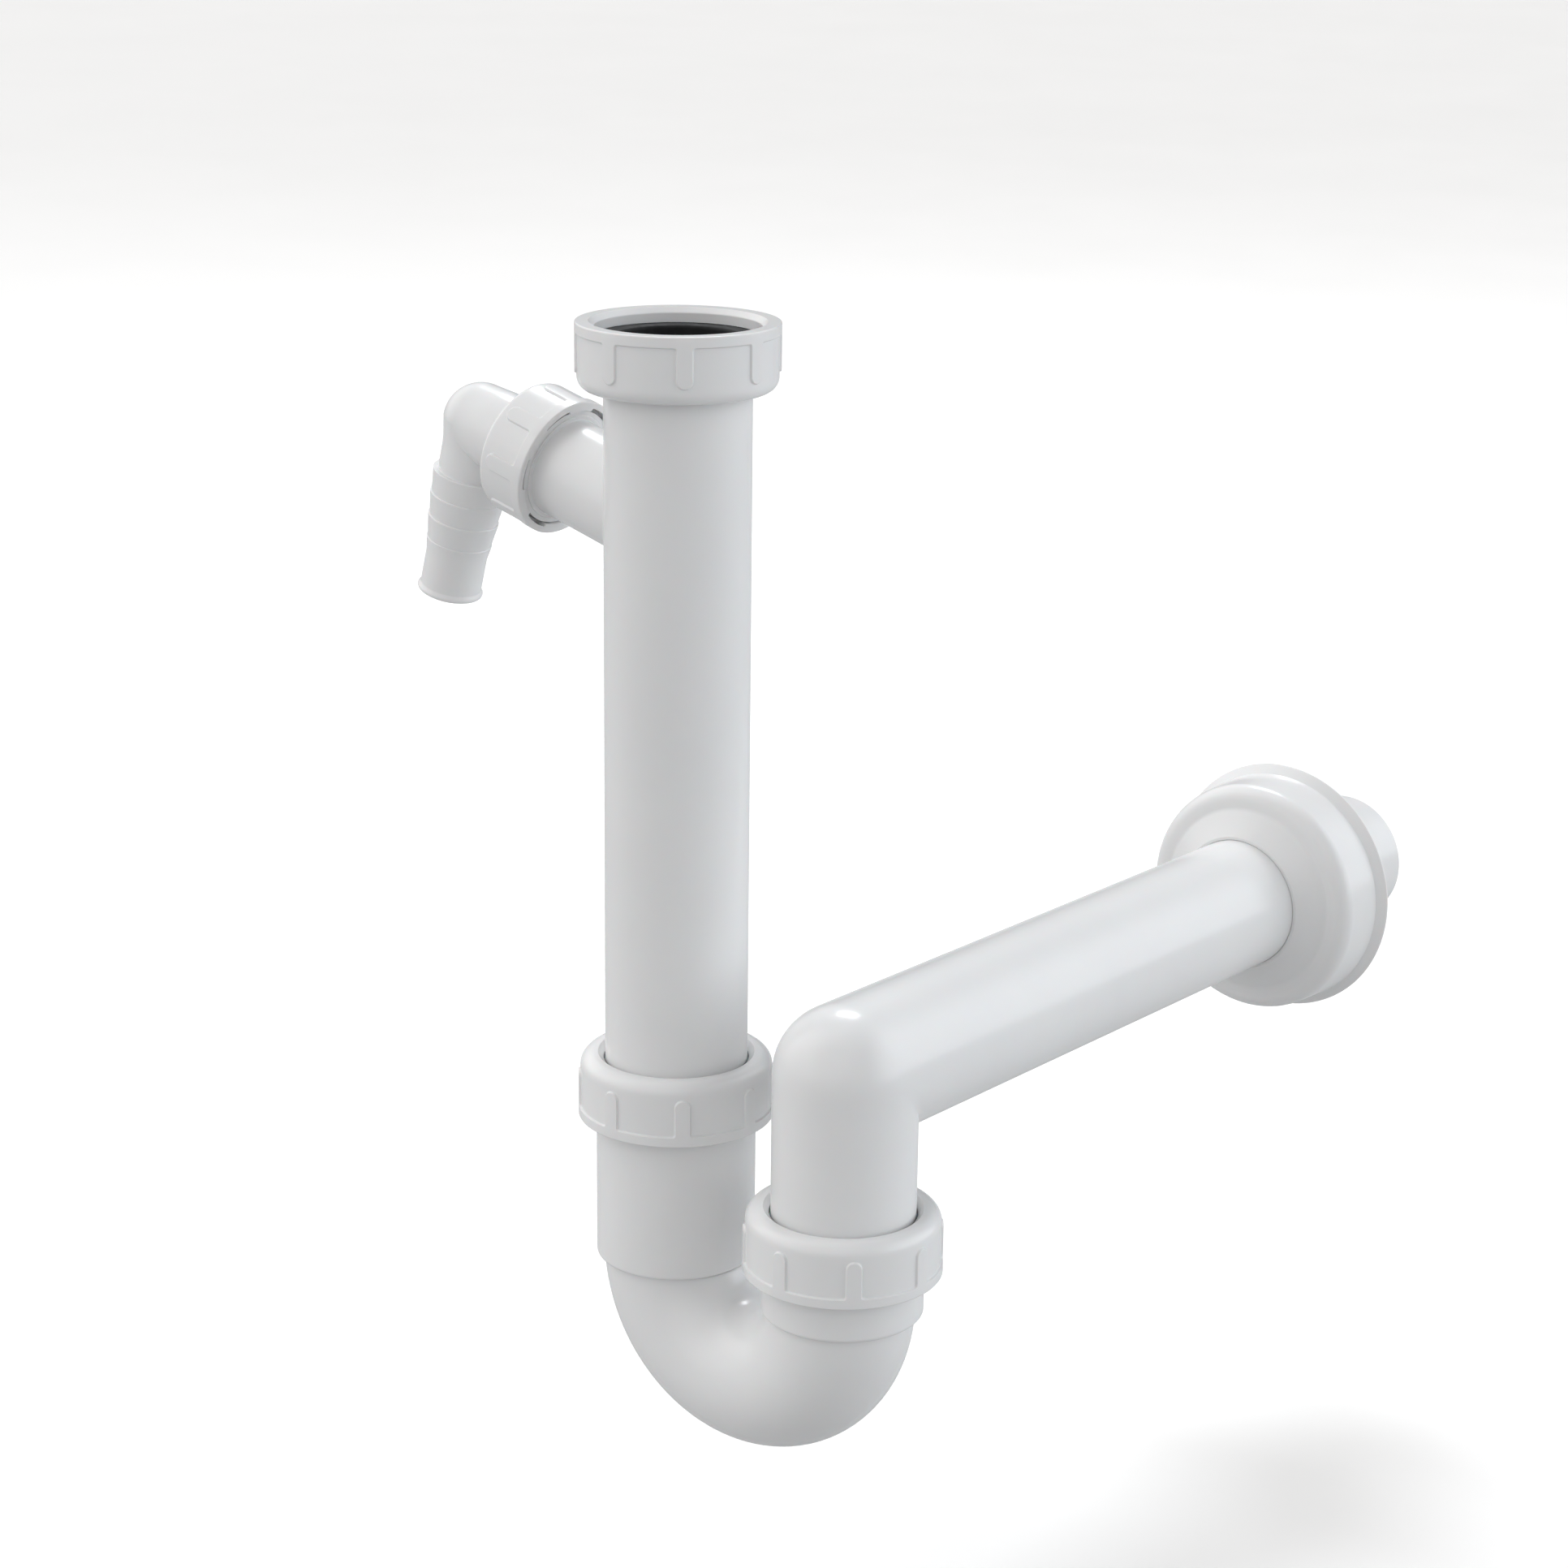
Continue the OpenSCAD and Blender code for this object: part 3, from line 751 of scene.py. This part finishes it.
def rosette(material):
    """Sloping rim, drum with a rounded front, and a low cone that holds the pipe; open at the back."""
    depth, hold = WALL_Y - span("wall_rosette", "y")[0], TUBE_R + 0.05
    corners = [
        (34.4, 0, 0.3), (ROSETTE_R, 0, 0.15), (ROSETTE_R, 0.6, 0.15), (36.4, 3.0, 0.3),
        (35.7, 19.8, 4.9), (28.8, 20.0, 2.6), (21.0, depth, 0.5),
        (hold, depth, 0.2), (hold, 18.2, 0.4), (33.7, 18.0, 3.0)]
    rows = rings(rounded(corners, 8), even_angles(144))
    origin = (LEG_X, WALL_Y, CORNER_Z)
    rows = placed(rows, origin, x=(1, 0, 0), y=(0, 0, 1), z=(0, -1, 0))
    piece("rosette_body", Skin().add_loop(rows), "wall_rosette", material)


# ---------------------------------------------------------------- materials

class Look:
    """A procedural material on a Principled shader. Patterns follow the piece's own coordinates."""

    def __init__(self, name):
        self.material = bpy.data.materials.new(name)
        self.material.use_nodes = True
        self.tree = self.material.node_tree
        self.shader = self.tree.nodes["Principled BSDF"]
        self.place = self.add("ShaderNodeTexCoord").outputs["Object"]
        self.height = None

    def add(self, kind, **settings):
        node = self.tree.nodes.new(kind)
        for key, value in settings.items():
            setattr(node, key, value)
        return node

    def join(self, output, target):
        self.tree.links.new(output, target)

    def noise(self, size, detail=3.0, rough=0.5):
        """Noise whose patches are about size metres across, from 0 to 1."""
        node = self.add("ShaderNodeTexNoise")
        node.inputs["Scale"].default_value = 1 / size
        node.inputs["Detail"].default_value = detail
        node.inputs["Roughness"].default_value = rough
        self.join(self.place, node.inputs["Vector"])
        return node.outputs["Fac"]

    def between(self, value, low, high, start=0.3, end=0.7):
        node = self.add("ShaderNodeMapRange")
        self.join(value, node.inputs["Value"])
        for key, number in (("From Min", start), ("From Max", end), ("To Min", low), ("To Max", high)):
            node.inputs[key].default_value = number
        return node.outputs["Result"]

    def mix(self, value, first, second):
        node = self.add("ShaderNodeMix", data_type="RGBA")
        self.join(value, node.inputs["Factor"])
        for socket, colour in ((node.inputs[6], first), (node.inputs[7], second)):
            if isinstance(colour, tuple):
                socket.default_value = (*colour, 1)
            else:
                self.join(colour, socket)
        return node.outputs[2]

    def bump(self, value, depth):
        """Adds relief of the given depth in metres to the surface."""
        node = self.add("ShaderNodeBump")
        node.inputs["Distance"].default_value = depth
        self.join(value, node.inputs["Height"])
        if self.height is not None:
            self.join(self.height, node.inputs["Normal"])
        self.height = node.outputs["Normal"]

    def finish(self, colour, roughness, **values):
        self.join(colour, self.shader.inputs["Base Color"])
        self.join(roughness, self.shader.inputs["Roughness"])
        if self.height is not None:
            self.join(self.height, self.shader.inputs["Normal"])
        for key, value in values.items():
            self.shader.inputs[key.replace("_", " ")].default_value = value
        return self.material


def white_plastic(name, first, second):
    """Moulded polypropylene: nearly even white, faint flow marks, fine mould texture, soft gloss."""
    look = Look(name)
    colour = look.mix(look.between(look.noise(0.03, 4), 0, 1), first, second)
    roughness = look.between(look.noise(0.04, 2), 0.21, 0.24)
    look.bump(look.noise(0.05, 1), 0.00002)
    look.bump(look.noise(0.0009, 2), 0.0000006)
    return look.finish(colour, roughness, IOR=1.49, Subsurface_Weight=0.12, Subsurface_Scale=0.0015)


def rubber(name, dark, light, low, high):
    """Moulded rubber with a dusty bloom and a fine grain."""
    look = Look(name)
    bloom = look.noise(0.004, 5, 0.65)
    colour = look.mix(look.between(bloom, 0, 1), dark, light)
    roughness = look.between(look.noise(0.0025, 4), low, high)
    look.bump(look.noise(0.003, 3), 0.00003)
    look.bump(look.noise(0.0004, 3), 0.00001)
    return look.finish(colour, roughness, IOR=1.5, Specular_IOR_Level=0.2)


def natural_plastic(name):
    """Unpigmented polyethylene: milky, waxy and a little see-through."""
    look = Look(name)
    colour = look.mix(look.between(look.noise(0.006, 4), 0, 1), (0.74, 0.76, 0.76), (0.82, 0.83, 0.81))
    roughness = look.between(look.noise(0.002, 4), 0.36, 0.5)
    look.bump(look.noise(0.0007, 3), 0.00001)
    return look.finish(colour, roughness, IOR=1.5, Subsurface_Weight=0.6, Subsurface_Scale=0.002)


# ---------------------------------------------------------------- floor, light and camera

def floor_material():
    """Near-white paint. Light that bounces off it meets a darker tone, as off a small sheet."""
    look = Look("floor_paint")
    seen = look.mix(look.between(look.noise(0.4, 3), 0, 1), (0.965, 0.95, 0.935), (0.98, 0.965, 0.95))
    colour = look.mix(look.add("ShaderNodeLightPath").outputs["Is Camera Ray"], FLOOR_BOUNCE, seen)
    roughness = look.between(look.noise(0.1, 4), 0.7, 0.85)
    return look.finish(colour, roughness, Specular_IOR_Level=0.1)


def floor(height):
    size = 60.0
    bpy.ops.mesh.primitive_plane_add(size=size, location=(0, 0, height))
    plane = bpy.context.object
    plane.name = "floor"
    plane.data.materials.append(floor_material())


def world(panels):
    """A studio lit by broad soft panels far away, each given as (direction, start, strength, colour).

    A panel fades from its middle to nothing where the cosine of the angle from it falls to start.
    The camera itself sees a plain pale wall.
    """
    studio = bpy.data.worlds.new("studio")
    bpy.context.scene.world = studio
    studio.use_nodes = True
    tree = studio.node_tree
    tree.nodes.remove(tree.nodes["Background"])
    place = tree.nodes.new("ShaderNodeTexCoord").outputs["Generated"]
    total = None
    for direction, start, strength, colour in panels:
        facing = tree.nodes.new("ShaderNodeVectorMath")
        facing.operation = "DOT_PRODUCT"
        facing.inputs[1].default_value = Vector(direction).normalized()
        tree.links.new(place, facing.inputs[0])
        level = tree.nodes.new("ShaderNodeMapRange")
        level.interpolation_type = "SMOOTHSTEP"
        level.inputs["From Min"].default_value = start
        level.inputs["To Max"].default_value = strength
        tree.links.new(facing.outputs["Value"], level.inputs["Value"])
        panel = tree.nodes.new("ShaderNodeBackground")
        panel.inputs["Color"].default_value = (*colour, 1)
        tree.links.new(level.outputs["Result"], panel.inputs["Strength"])
        if total is None:
            total = panel.outputs[0]
            continue
        both = tree.nodes.new("ShaderNodeAddShader")
        tree.links.new(total, both.inputs[0])
        tree.links.new(panel.outputs[0], both.inputs[1])
        total = both.outputs[0]
    wall = tree.nodes.new("ShaderNodeBackground")
    wall.inputs["Color"].default_value = (*WALL_SEEN, 1)
    seen = tree.nodes.new("ShaderNodeMixShader")
    tree.links.new(tree.nodes.new("ShaderNodeLightPath").outputs["Is Camera Ray"], seen.inputs[0])
    tree.links.new(total, seen.inputs[1])
    tree.links.new(wall.outputs[0], seen.inputs[2])
    tree.links.new(seen.outputs[0], tree.nodes["World Output"].inputs["Surface"])


def soft_box(name, aim, towards, distance, along, size, power, colour):
    """A rectangular lamp at a distance from aim, its long side lying along the given direction."""
    away = Vector(towards).normalized()
    side = (Vector(along) - away * away.dot(Vector(along))).normalized()
    data = bpy.data.lights.new(name, "AREA")
    data.shape = "RECTANGLE"
    data.size, data.size_y = size
    data.energy = power
    data.color = colour
    lamp = bpy.data.objects.new(name, data)
    axes = Matrix((side, away.cross(side), away)).transposed()
    lamp.matrix_world = Matrix.Translation(aim + away * distance) @ axes.to_4x4()
    lamp.visible_camera = False
    bpy.context.scene.collection.objects.link(lamp)
    return lamp


def camera():
    """Looks down at the trap from the front left, turned a little about its own axis."""
    azimuth, pitch, roll = map(math.radians, (39.488, 16.574, 0.666))
    distance, across, above = 0.921197, 0.029406, -0.122279
    right = Vector((math.cos(azimuth), math.sin(azimuth), 0))
    level = Vector((-math.sin(azimuth), math.cos(azimuth), 0))
    forward = level * math.cos(pitch) - Vector((0, 0, math.sin(pitch)))
    up = right.cross(forward)
    data = bpy.data.cameras.new("camera")
    data.sensor_width = 36.0
    data.lens = 79.955
    eye = bpy.data.objects.new("camera", data)
    place = right * across + up * above - forward * distance
    rolled_right = right * math.cos(roll) + up * math.sin(roll)
    rolled_up = up * math.cos(roll) - right * math.sin(roll)
    axes = Matrix((rolled_right, rolled_up, -forward)).transposed()
    eye.matrix_world = Matrix.Translation(place) @ axes.to_4x4()
    bpy.context.scene.collection.objects.link(eye)
    bpy.context.scene.camera = eye
    return -forward


# ---------------------------------------------------------------- the object and its scene

white = white_plastic("white_polypropylene", (0.74, 0.74, 0.742), (0.76, 0.76, 0.76))
black = rubber("black_rubber", (0.008, 0.008, 0.0085), (0.014, 0.014, 0.0145), 0.6, 0.75)
grey = rubber("grey_rubber", (0.06, 0.06, 0.065), (0.1, 0.1, 0.105), 0.5, 0.7)
waxy = natural_plastic("natural_polyethylene")

dip_tube(white)
inlet_union_nut(white)
small_nut(white)
hose_elbow(white)
trap_bend(white)
compression_nut("inlet_nut_body", "inlet_compression_nut", 0, INLET_NUT_TOP, white)
compression_nut("outlet_nut_body", "outlet_compression_nut", LEG_X, OUTLET_NUT_TOP, white)
outlet_pipe(white)
rosette(white)
washers(black)
seals(grey, waxy)

# The floor lies 10 mm below the trap's lowest place, and the panels are set out from the camera
trap_drop = -JOINT["trap_height"]["range_m"][0]
floor(CAD_BOX[0].z - trap_drop - 0.01)
front = camera()
front.z = 0
front.normalize()
right = Vector((-front.y, front.x, 0))
up = Vector((0, 0, 1))
world([
    (right + 0.14 * up, 0.55, 2.5, COOL),
    (-right + 0.14 * up, 0.55, 0.95, NEUTRAL),
    (front + 0.14 * up, 0.55, 0.6, NEUTRAL),
    (front - right + 1.4 * up, 0.55, 0.85, NEUTRAL),
    (-front - right + 1.4 * up, 0.55, 1.2, NEUTRAL),
])
centre = (CAD_BOX[0] + CAD_BOX[1]) / 2
soft_box("back_light", centre, (-0.36, 0.47, 0.79), 2.2, (0.97, 0.22, 0.1), (0.7, 0.4), 18, COOL)
fill = soft_box("side_light", centre, right - 0.1 * up, 1.6, front, (1.2, 0.35), 3.6, COOL)
fill.visible_glossy = False
bpy.context.scene.view_settings.view_transform = "Standard"
